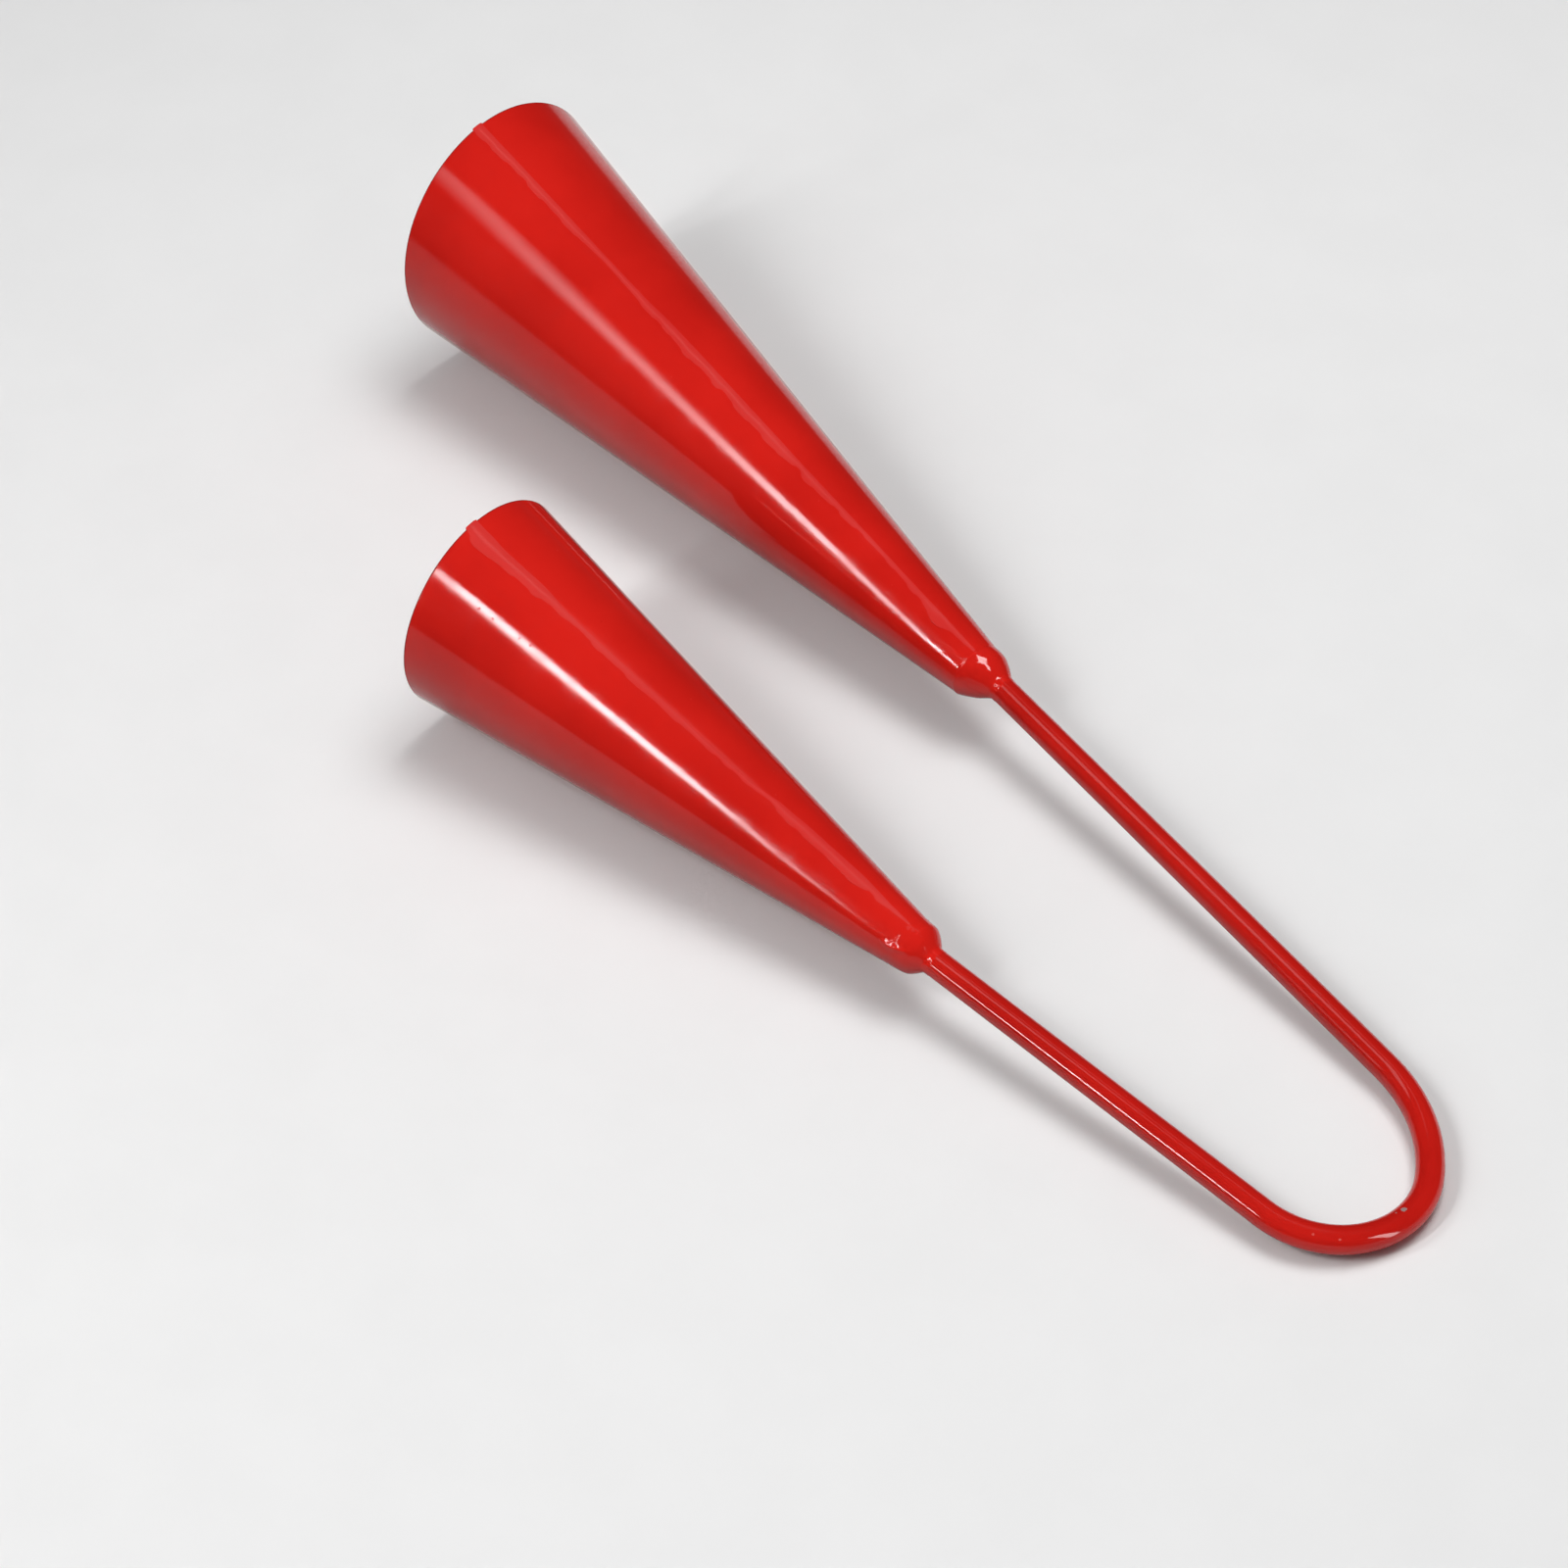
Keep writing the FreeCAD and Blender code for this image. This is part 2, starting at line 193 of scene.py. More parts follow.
# tables hold a distance from the narrow end and a value; lumps and pimples hold their share of the weld,
# turn, height, length and spread, and the tongue of the lap its turn, length and spread
bells = {
    "large": {
        "side": -1,
        "arm": 87.8,
        "length": 115.7,
        "mouth": 39.1,
        "tip": 8.5,
        "kink": 1.7,
        "offset": 0.9,
        "slant": 9.6,
        "mouthTurn": -42.5,
        "seamTurn": 80.0,
        "nose": 4.1,
        "swell": 0.15,
        "seed": 3.1,
        "seamWidth": ((0, 0.6), (4, 0.9), (7.5, 1.8), (11, 1.1), (21, 0.8), (35, 1.25), (37, 1.6), (39, 1.2),
                      (46, 1.95), (58, 1.7), (65, 1.95), (71, 1.5), (79, 1.05), (83, 1.1), (90, 1.45),
                      (108, 1.5), (112, 1.9), (116, 2.2)),
        "seamEdge": ((0, 0.33), (30, 0.62), (70, 1.05), (76, 0.82), (116, 1.08)),
        "lumps": ((0.45, 100, 0.12, 0.2, 34), (0.4, 160, 0.1, 0.22, 30), (0.75, 60, 0.08, 0.16, 30),
                  (0.3, 230, 0.12, 0.2, 35), (0.6, 300, 0.1, 0.2, 34), (0.25, 30, 0.09, 0.2, 30)),
        "pimples": ((-0.04, 61, 0.05, 0.045, 3.2), (1.13, 51, 0.03, 0.05, 6)),
        "tongue": (60, 0.3, 25),
        "sunk": 0.0,
    },
    "small": {
        "side": 1,
        "arm": 63.2,
        "length": 85.5,
        "mouth": 32.6,
        "tip": 8.0,
        "kink": -1.05,
        "offset": 0.0,
        "slant": 5.75,
        "mouthTurn": -33.5,
        "seamTurn": 82.0,
        "nose": 4.0,
        "swell": 0.55,
        "seed": 8.4,
        "seamWidth": ((0, 0.5), (3, 0.8), (7, 1.3), (10, 1.9), (19, 1.8), (24, 1.45), (27, 0.9),
                      (31, 0.7), (42, 0.95), (55, 1.2), (64, 1.0), (68, 1.45), (72, 2.1), (78, 2.2),
                      (82.5, 3.0), (86, 2.5)),
        "seamEdge": ((0, 0.45), (3, 0.54), (10, 1.0), (19, 0.96), (24, 0.78), (31, 0.0), (42, 0.18),
                     (50, 0.35), (64, 0.42), (72, 1.07), (79, 1.08), (82.5, 1.37), (86, 1.6)),
        "lumps": ((0.4, 95, 0.14, 0.2, 34), (0.5, 150, 0.12, 0.22, 30), (0.75, 70, 0.1, 0.16, 30),
                  (0.35, 220, 0.12, 0.2, 35), (0.6, 290, 0.12, 0.2, 34)),
        "pimples": ((-0.5, 25.5, 0.07, 0.14, 5), (-0.32, 24.5, 0.12, 0.13, 6),
                    (-0.14, 23.3, 0.15, 0.13, 6), (0.04, 25, 0.15, 0.13, 6), (0.22, 28.5, 0.15, 0.12, 6),
                    (0.37, 31.6, 0.1, 0.1, 6), (0.47, 33.3, 0.05, 0.08, 5), (1.06, 42, 0.03, 0.05, 6)),
        "tongue": (27, 1.9, 12),
        "sunk": 0.03,
    },
}
wall = {
    "sheet": 0.8,
    "rimRound": 0.25,
    "along": 120,
    "around": 256,
    "lastRow": 0.9993,  # share of the length at the last row but one
    "roundSteps": 4,
    "slit": 0.3,  # half of the slit, as a share of the seam's width
    "waves": 0.03,
    "waveLength": 24.0,
    "waveAround": 1.4,
    "fineScale": 3.1,
    "fineShift": (5, 2),
    "fineShare": 0.25,
    "calmTip": (3, 16),  # the hollows set in between these distances
    "rimWaver": 0.05,
    "rimWaverAround": 3,
}


class Cone:
    def __init__(self, name):
        look = bells[name]
        self.name = name
        self.look = look
        self.length = look["length"]
        self.tip = look["tip"] / 2
        self.grow = (look["mouth"] - look["tip"]) / 2 / look["length"]
        self.thick = wall["sheet"] * math.sqrt(1 + self.grow ** 2)
        self.lean = math.tan(math.radians(look["slant"]))
        self.mouthTurn = math.radians(look["mouthTurn"])
        self.seamTurn = math.radians(look["seamTurn"])
        heading = look["side"] * handle["splay"]
        spot = starts[name] + turned(heading, "Z") @ Vector((look["arm"], look["offset"], 0))
        self.place = plane @ Matrix.Translation(spot) @ turned(heading + look["kink"], "Z")
        # the rod's line in this bell's frame
        self.rodSlope = -math.tan(math.radians(look["kink"]))
        self.rodAside = -look["offset"] / math.cos(math.radians(look["kink"]))

    def radius(self, along):
        return self.tip + self.grow * along

    def rodY(self, along):
        return self.rodAside + self.rodSlope * along

    def mouthAt(self, turn, radius, grow=0.0):
        # where a line at this turn, with this radius at the narrow end, meets the slanted mouth
        lean = self.lean * math.cos(turn - self.mouthTurn)
        return (self.length - lean * radius) / (1 + lean * grow)

    def dip(self, along, turn):
        # the shallow hollows of hand-rolled sheet, inwards only
        seed, around, share = self.look["seed"], wall["waveAround"], wall["fineShare"]
        spot = Vector((math.cos(turn) * around, math.sin(turn) * around, along / wall["waveLength"] + seed))
        depth = noiseShare(spot)
        fine = noiseShare(spot * wall["fineScale"] + Vector((*wall["fineShift"], seed)))
        return wall["waves"] * ((1 - share) * depth + share * fine) * stepUp(*wall["calmTip"], along)

    def rimWaver(self, turn):
        # how far the hand-cut rim falls short
        around = wall["rimWaverAround"]
        spot = Vector((math.cos(turn) * around, math.sin(turn) * around, self.look["seed"]))
        return wall["rimWaver"] * noiseShare(spot)

    def seamWidth(self, along):
        return eased(self.look["seamWidth"], along)

    def seamMiddle(self, along):
        # turn of the strip's middle
        aside = eased(self.look["seamEdge"], along) - self.seamWidth(along) / 2
        return self.seamTurn + aside / self.radius(along)

    def slitHalf(self, along):
        return wall["slit"] * self.seamWidth(along)


def onCone(along, turn, radius):
    return Vector((along, radius * math.cos(turn), radius * math.sin(turn)))


def makeShell(cone):
    count, steps, bite = wall["around"], wall["roundSteps"], wall["rimRound"]
    outer, rim, inner = [], [], []
    slope = Vector((1, cone.grow)).normalized()
    for i in range(wall["along"] + 1):
        # the last two rows lie close together, so that only the rim looks rounded
        share = 1.0 if i == wall["along"] else wall["lastRow"] * i / (wall["along"] - 1)
        outRing, inRing = [], []
        for j in range(count + 1):
            guess = cone.length * share
            gap = cone.slitHalf(guess) / cone.radius(guess)
            turn = cone.seamMiddle(guess) + gap + (2 * math.pi - 2 * gap) * j / count
            waver = cone.rimWaver(turn)
            far = cone.mouthAt(turn, cone.tip, cone.grow) - waver
            farIn = cone.mouthAt(turn, cone.tip - cone.thick, cone.grow) - waver
            face = Vector((farIn, cone.radius(farIn) - cone.thick)) - Vector((far, cone.radius(far)))
            face.normalize()
            along = share * (far - bite)
            alongIn = share * (farIn - bite)
            dip = cone.dip(along, turn)
            outRing.append(onCone(along, turn, cone.radius(along) - dip))
            inRing.append(onCone(alongIn, turn, cone.radius(alongIn) - cone.thick - dip))
            if i == wall["along"]:
                rim.append((turn, far, farIn, face, dip))
        outer.append(outRing)
        inner.append(inRing)
    rounded = []

    def corner(point, back, ahead, share):
        # a point of the rounded edge between two directions that leave its corner
        first, last = point + back * bite, point + ahead * bite
        return first * (1 - share) ** 2 + point * 2 * share * (1 - share) + last * share ** 2

    for turn, far, farIn, face, dip in rim:
        out = Vector((far, cone.radius(far) - dip))
        into = Vector((farIn, cone.radius(farIn) - cone.thick - dip))
        line = [corner(out, -slope, face, k / steps) for k in range(1, steps + 1)]
        line += [corner(into, -face, -slope, k / steps) for k in range(steps)]
        rounded.append([onCone(p.x, turn, p.y) for p in line])
    rings = outer + [[line[k] for line in rounded] for k in range(2 * steps)] + inner[::-1]
    width = count + 1
    points = [p for ring in rings for p in ring]
    total = len(rings)
    faces = []
    for i in range(total):
        low, high = i * width, ((i + 1) % total) * width
        for j in range(count):
            faces.append((low + j, low + j + 1, high + j + 1, high + j))
    # both sides of the slit
    last = total - 1
    for side in (0, count):
        for i in range(wall["along"]):
            a, b = i * width + side, (i + 1) * width + side
            c, d = (last - i - 1) * width + side, (last - i) * width + side
            faces.append((a, b, c, d))
        first = wall["along"]
        faces.append(tuple(k * width + side for k in range(first, last - first + 1)))
    piece = addPiece(cone.name + "BellShell", cone.name + "_bell",
                     points, faces, cone.place)
    # marks the cut edge of the mouth for the paint, which is darker there: thin paint, and painted shade on
    # the edge
    edge = piece.data.attributes.new("rim", "FLOAT", "POINT")
    for i in range(total):
        share = 1.0 if wall["along"] <= i < total - wall["along"] else 0.0
        for j in range(width):
            edge.data[i * width + j].value = share
    return piece


seam = {
    "step": 0.4,
    "proud": 0.012,
    "bevel": 0.13,
    "bevelDrop": 0.035,
    "skirt": 0.25,
    "inside": 0.04,
    "end": ((0.08, 0.97), (0.17, 0.88), (0.26, 0.72), (0.33, 0.45)),  # how far out, and how wide
    "jagged": 0.14,
    "jagLength": 1.7,
    "jagBlend": (0.25, 0.75),
    "calmTip": (2, 8),  # the jags set in between these distances
    "smoothSide": 0.02,
    "sideScale": 0.4,
    "sideRow": 3,
    "sharp": 30.0,
}


def makeSeam(cone):
    rolls = random.Random(round(cone.look["seed"] * 10))
    stations = int(cone.length / seam["step"])
    jags = [rolls.uniform(-1, 1) for _ in range(int(cone.length / seam["jagLength"]) + 3)]
    rings = []
    mouthWay = Vector((0, math.cos(cone.mouthTurn), math.sin(cone.mouthTurn)))
    for i in range(stations + 1):
        share = i / stations
        guess = cone.length * share
        width = cone.seamWidth(guess)
        place = guess / seam["jagLength"]
        k = int(place)
        blend = stepUp(*seam["jagBlend"], place - k)
        jag = (jags[k] * (1 - blend) + jags[k + 1] * blend) * seam["jagged"] * stepUp(*seam["calmTip"], guess)
        spot = Vector((guess * seam["sideScale"], seam["sideRow"], cone.look["seed"]))
        right = width / 2 + seam["smoothSide"] * noise.noise(spot)
        left = width * (jag - 0.5)
        slit = cone.slitHalf(guess)
        middle = cone.seamMiddle(guess)
        across = Vector((0, -math.sin(middle), math.cos(middle)))
        up = Vector((0, math.cos(middle), math.sin(middle)))
        reach = share * cone.mouthAt(middle, cone.tip, cone.grow)
        radius = cone.radius(reach) - cone.dip(reach, middle)
        top = math.sqrt(radius ** 2 - slit ** 2) + seam["proud"]
        low = radius - cone.thick - seam["inside"]
        bevel = seam["bevel"]
        edge = top - seam["bevelDrop"]
        skirt = top - seam["skirt"]
        section = [
            (left + bevel, top), (right - bevel, top), (right, edge), (right, skirt),
            (slit, low), (-slit, low), (left, skirt), (left, edge),
        ]
        ring = []
        for aside, height in section:
            flat = across * aside + up * height
            lean = cone.lean * share * (flat - up * radius).dot(mouthWay)
            ring.append(Vector((reach - lean, flat.y, flat.z)))
        rings.append(ring)
    # the bead's end stands a little out of the rim, rounded
    end = rings[-1]
    core = sum(end, Vector()) / len(end)
    for out, shrink in seam["end"]:
        rings.append([core + (p - core) * shrink + Vector((out, 0, 0)) for p in end])
    count = len(end)
    points = [p for ring in rings for p in ring]
    faces = ringFaces(len(rings), count)
    faces.append(tuple(range(count)))
    faces.append(tuple(range(len(points) - count, len(points))))
    return addPiece(cone.name + "BellSeam", cone.name + "_bell_seam",
                    points, faces, cone.place, seam["sharp"])


weld = {
    "around": 240,
    "steps": 60,
    "lap": 0.5,
    "lapSteps": 16,
    "lapRise": ((0, 0.04), (0.32, 0.03), (0.65, 0.0), (1, -0.06)),
    "inside": 0.9,
    "proud": 0.27,
    "shoulder": 0.3,
    "overCone": 0.14,
    "fillet": 0.22,
    "overRod": 0.012,
    "tail": 1.3,  # the skin on the rod ends at this share of the nose
    "lip": (0.25, 0.05),  # step along and down where the skin turns into the rod
    "bore": 0.4,
    "innerStart": 0.3,
    "innerFace": (0.1, 0.25),
    "innerLap": 0.2,
    "lumpStart": (-0.1, 0.15),
    "lumpEnd": (0.8, 1.1),
    "lumpReach": 1.2,
    "buried": 9.0,  # stands for the share of rings that lie inside and take no lumps
}


def swollen(lumps, turn, share):
    # the height of round lumps at a place on the weld
    total = 0.0
    for at, angle, height, wide, spread in lumps:
        total += height * math.exp(-((share - at) / wide) ** 2 - (turnOff(turn, angle) / spread) ** 2)
    return total


def makeWeld(cone):
    look = cone.look
    nose, swell = look["nose"], look["swell"]
    rodRadius = handle["diameter"] / 2
    noseY = cone.rodY(-nose)
    # the lap on the cone starts flush and grows out of it; its rings hold a share of its length
    laps = weld["lapSteps"]
    rings = [(1 - k / laps, 0.0, 0.0, 0.0) for k in range(laps)]
    for i in range(weld["steps"] + 1):
        share = i / weld["steps"] * weld["tail"]
        held = min(share, 1.0)
        along = -nose * share
        dome = cone.tip + weld["proud"] - (cone.tip - rodRadius) * share + swell * 4 * share * (1 - share)
        dome = smoothMin(cone.radius(along) + weld["overCone"], dome, weld["shoulder"]) - look["sunk"]
        radius = smoothMax(dome, rodRadius + weld["overRod"], weld["fillet"])
        aside = noseY * math.sin(held * math.pi / 2) if share < 1 else cone.rodY(along)
        rings.append((along, aside, radius, share))
    tail, inside, buried = -nose * weld["tail"], weld["inside"], weld["buried"]
    lipBack, lipDrop = weld["lip"]
    faceAhead, faceGap = weld["innerFace"]
    bore = rodRadius - weld["bore"]
    innerWall = cone.radius(inside) - cone.thick
    rings += [
        (tail - lipBack, cone.rodY(tail), rodRadius - lipDrop, buried),
        (tail, cone.rodY(tail), bore, buried),
        (inside, cone.rodY(inside), bore, buried),
        (inside + weld["innerStart"], cone.rodY(inside), rodRadius - lipDrop, buried),
        (inside + faceAhead, 0.0, innerWall - faceGap, buried),
        (inside, 0.0, innerWall + weld["innerLap"], buried),
    ]
    count = weld["around"]
    points = []
    tongueTurn, tongueLength, tongueSpread = look["tongue"]
    for k in range(len(rings) * count):
        along, aside, radius, share = rings[k // count]
        turn = 2 * math.pi * (k % count) / count
        if k < laps * count:
            off = turnOff(turn, tongueTurn)
            rise = eased(weld["lapRise"], along) - look["sunk"] * (1 - along)
            along *= weld["lap"] + tongueLength * math.exp(-(off / tongueSpread) ** 2)
            radius = cone.radius(along) + rise
            share = -along / nose
        bump = 0.0
        if share < weld["lumpReach"]:
            bump = swollen(look["lumps"], turn, share) * stepUp(*weld["lumpStart"], share)
            bump *= 1 - stepUp(*weld["lumpEnd"], share)
            bump += swollen(look["pimples"], turn, share)
        points.append(onCone(along, turn, radius + bump) + Vector((0, aside, 0)))
    faces = ringFaces(len(rings), count, True)
    return addPiece(cone.name + "BellWeld", cone.name + "_bell_weld",
                    points, faces, cone.place)


def rodPath():
    # points and headings along the middle of the rod, from inside the large bell to inside the small one
    step = handle["step"]
    line = []
    reach = bells["large"]["arm"] + handle["reach"]
    count = int(reach / step)
    for i in range(count):
        spot = starts["large"] + spoke(-handle["splay"], reach * (1 - i / count))
        line.append((spot, 180 - handle["splay"]))
    count = int(math.radians(handle["wideSweep"]) * handle["wideRadius"] / step)
    for i in range(count):
        angle = largeEnd - handle["wideSweep"] * i / count
        line.append((wideMiddle + spoke(angle, handle["wideRadius"]), angle - 90))
    count = int(math.radians(joint - smallEnd) * handle["bendRadius"] / step * handle["tightSteps"])
    for i in range(count):
        angle = joint - (joint - smallEnd) * i / count
        line.append((spoke(angle, handle["bendRadius"]), angle - 90))
    reach = bells["small"]["arm"] + handle["reach"]
    count = int(reach / step)
    for i in range(count + 1):
        line.append((starts["small"] + spoke(handle["splay"], reach * i / count), handle["splay"]))
    return line


def makeRod():
    count = handle["around"]
    radius = handle["diameter"] / 2
    up = Vector((0, 0, 1))
    points = []
    line = rodPath()
    for k, (middle, heading) in enumerate(line):
        side = spoke(heading + 90, 1.0)
        ring = []
        for j in range(count):
            turn = 2 * math.pi * j / count
            out = side * math.cos(turn) + up * math.sin(turn)
            spot = (middle + out * radius) / handle["waverLength"]
            ring.append(middle + out * (radius - handle["waver"] * noiseShare(spot)))
        end = [middle + (p - middle) * handle["endShrink"] for p in ring]
        if k == 0:
            points += end
        points += ring
        if k == len(line) - 1:
            points += end
    rings = len(points) // count
    faces = ringFaces(rings, count)
    faces.append(tuple(range(count)))
    faces.append(tuple(range(len(points) - count, len(points))))
    return addPiece("handleRod", "handle_rod", points, faces, plane)


cones = [Cone(name) for name in bells]
rod = makeRod()
shells = [makeShell(cone) for cone in cones]
seams = [makeSeam(cone) for cone in cones]
welds = [makeWeld(cone) for cone in cones]
print("pieces made")

# sizes are in millimetres, pairs are the ends of a smooth step
paint = {
    "red": (0.575, 0.013, 0.0085, 1),
    "deep": (0.50, 0.0105, 0.007, 1),
    # the seam colours are a lighter red that paints part of the overhead strip lamp's reflection in the flat
    # dressed seam
    "seamSheenRed": (0.575, 0.032, 0.028, 1),
    "seamSheenDeep": (0.54, 0.023, 0.02, 1),
    "broadScale": 0.055,
    "broad": (0.3, 0.7),
    "roughness": 0.075,
    "smudgeScale": 0.35,
    "smudge": (0.45, 0.75),
    "smudgeRough": 0.05,
    "speckSize": 1.7,
    "speckShare": 0.16,
    "speckSoft": 0.02,
    "speckEdge": (0.03, 0.07),
    "speckTint": 0.6,
    "speckHeight": 0.004,
    "speckRed": (0.66, 0.05, 0.04, 1),
    "steel": (0.30, 0.29, 0.28, 1),
    "pale": (0.72, 0.16, 0.14, 1),
    "rimShadeRed": (0.17, 0.004, 0.003, 1),
    "rimEdge": (0.65, 0.95),
    "rimShare": 0.85,
    "rimRough": 0.85,
    "peel": 0.7,
    "peelDepth": 0.002,
    "rodPeel": 0.4,
    "ragged": 1.2,  # how far a mark's edge strays, as a share of its size
    "raggedScale": 0.9,
    "markEdge": (1.5, 1.55),
    "gloss": 1.35,
}


def enamel(name, light, deep, marks=(), rims=False, peelShare=1.0):
    material = bpy.data.materials.new(name)
    material.use_nodes = True
    tree = material.node_tree
    tree.nodes.clear()
    wire = Wire(tree)
    place = wire.make("TexCoord", output="Object")
    spot = wire.make("VectorMath", {"operation": "SCALE"}, {0: place, "Scale": 1 / mm})
    broad = wire.make("TexNoise", None, {"Vector": spot, "Scale": paint["broadScale"], "Detail": 3.0})
    colour = broad.eased(*paint["broad"]).mixed(light, deep)
    cells = wire.make("TexVoronoi", None, {"Vector": spot, "Scale": 1 / paint["speckSize"]}, "Distance")
    pick = wire.make("TexVoronoi", None, {"Vector": spot, "Scale": 1 / paint["speckSize"]}, "Color")
    chance = wire.make("SeparateColor", None, {0: pick})
    speck = 1 - cells.eased(*paint["speckEdge"])
    speck = speck * (1 - chance.eased(paint["speckShare"], paint["speckShare"] + paint["speckSoft"]))
    colour = (speck * paint["speckTint"]).mixed(colour, paint["speckRed"])
    smudge = wire.make("TexNoise", None, {"Vector": spot, "Scale": paint["smudgeScale"], "Detail": 4.0})
    rough = paint["roughness"] + smudge.eased(*paint["smudge"]) * paint["smudgeRough"]
    peel = wire.make("TexNoise", None, {"Vector": spot, "Scale": paint["peel"], "Detail": 2.0})
    height = peel * (paint["peelDepth"] * peelShare) + speck * paint["speckHeight"]
    inner, outer = paint["markEdge"]
    # each mark is either a real flaw, such as a chip, pit or speck, or painted light, such as the welds'
    # painted highlights
    for flawAndSheen in marks:
        size = flawAndSheen["size"]
        away = wire.make("VectorMath", {"operation": "DISTANCE"}, {0: spot, 1: flawAndSheen["at"]}, "Value")
        scale = paint["raggedScale"] / size
        ragged = wire.make("TexNoise", None, {"Vector": spot, "Scale": scale, "Detail": 3.0})
        away = away + ragged * size * paint["ragged"]
        share = 1 - away.eased(size * (inner - flawAndSheen["soft"]), size * outer)
        colour = (share * flawAndSheen["share"]).mixed(colour, paint[flawAndSheen["look"]])
        rough = rough + share * flawAndSheen["rough"]
        height = height + share * flawAndSheen["height"]
    # the cut edge of the mouth is painted darker: thin paint there, and painted shade
    if rims:
        edge = wire.make("Attribute", {"attribute_name": "rim"}, None, "Fac").eased(*paint["rimEdge"])
        colour = (edge * paint["rimShare"]).mixed(colour, paint["rimShadeRed"])
        rough = rough + edge * paint["rimRough"]
    bump = wire.make("Bump", None, {"Strength": 1.0, "Distance": mm, "Height": height})
    shader = wire.make("BsdfPrincipled", None, {
        "Base Color": colour, "Roughness": rough, "Normal": bump, "IOR": paint["gloss"],
    })
    wire.make("OutputMaterial", None, {"Surface": shader})
    return material


def mark(at, look, size, share, soft=0.15, rough=0.0, height=0.0):
    return dict(at=at, look=look, size=size, share=share, soft=soft, rough=rough, height=height)


def onBell(cone, along, turn, radius):
    return cone.place @ onCone(along, math.radians(turn), radius)


largeCone, smallCone = cones
rodMarks = (
    mark((-110.6, 4.4, 4.0), "steel", 0.46, 0.75, 0.15, 0.3, -0.03),
    mark((-110.3, 5.6, 4.0), "steel", 0.2, 0.6, 0.5, 0.2),
    mark((-106.0, 16.7, 4.6), "pale", 0.22, 0.5, 0.2, 0.1, 0.02),
    mark((-108.7, 14.5, 4.2), "pale", 0.2, 0.5, 0.2, 0.1, 0.02),
)
# painted light on the welds: the seam's lighter red carried on as a zigzag is a painted reflection, and the
# pale spots by the rod are painted highlights
weldSheenMarks = (
    mark(onBell(smallCone, -0.2, 77, 3.95), "seamSheenRed", 0.45, 0.8, 0.5),
    mark(onBell(smallCone, -0.9, 79, 3.8), "seamSheenRed", 0.4, 0.7, 0.5),
    mark(onBell(smallCone, -1.5, 80, 3.6), "seamSheenRed", 0.4, 0.8, 0.5),
    mark(onBell(smallCone, -2.1, 84, 3.3), "seamSheenRed", 0.45, 0.8, 0.5),
    mark(onBell(smallCone, -3.6, 85, 2.3), "pale", 0.25, 0.6, 0.4),
    mark(onBell(largeCone, -4.6, 70, 2.1), "pale", 0.25, 0.6, 0.4),
)
pits = [mark(at, "deep", 0.22, 0.8, 0.4, 0.15, -0.02) for at in (
    (38.6, 37.3, 27.5), (36.1, 36.8, 27.0), (31.3, 36.0, 26.1), (29.4, 35.6, 25.8), (25.5, 25.9, 27.1),
)]
bellPaint = enamel("redBellPaint", paint["red"], paint["deep"], pits, rims=True)
# the seam strip's lighter red is a painted reflection of the overhead light, added to the lamp's real one
seamSheenPaint = enamel("redSeamSheenPaint", paint["seamSheenRed"], paint["seamSheenDeep"])
weldPaint = enamel("redWeldPaint", paint["red"], paint["deep"], weldSheenMarks)
handlePaint = enamel("redHandlePaint", paint["red"], paint["deep"], rodMarks, peelShare=paint["rodPeel"])
for pieces, material in (([rod], handlePaint), (shells, bellPaint), (seams, seamSheenPaint), (welds, weldPaint)):
    for piece in pieces:
        piece.data.materials.append(material)
print("painted")

shot = {
    "target": (4.9, 10.14, 0.0),
    "heading": -131.58,
    "rise": 45.0,
    "distance": 726.6,
    "lens": 117.0,
    "sensor": 36.0,
}
# the photographer's frame: +Y away from the camera, +X to its right
studio = Matrix.Translation(shot["target"]) @ turned(shot["heading"], "Z")

# a flat round floor that curves up all round; far and edge colours set in with the distance in metres, and
# paint shade on the far floor and backdrop, darker to the left than to the right
ground = {
    "flat": (300.0, 800.0),
    "radius": 1500.0,
    "curve": 900.0,
    "curveSteps": 18,
    "top": 1300.0,
    "around": 96,
    "colour": (0.84, 0.84, 0.84, 1),
    "farLeftShade": (0.08, 0.08, 0.08, 1),
    "farRightShade": (0.2, 0.2, 0.2, 1),
    "edge": (0.02, 0.02, 0.02, 1),
    "fade": (0.12, 1.0),
    "edgeFade": (1.7, 2.75),
    "rightWay": (0.9, 0.44, 0),
    "sides": (-0.4, 0.5),
    "grainScale": 60.0,
    "grain": (0.3, 0.7),
    "grainShade": 0.985,
    "roughness": 0.75,
    "specular": 0.1,
}


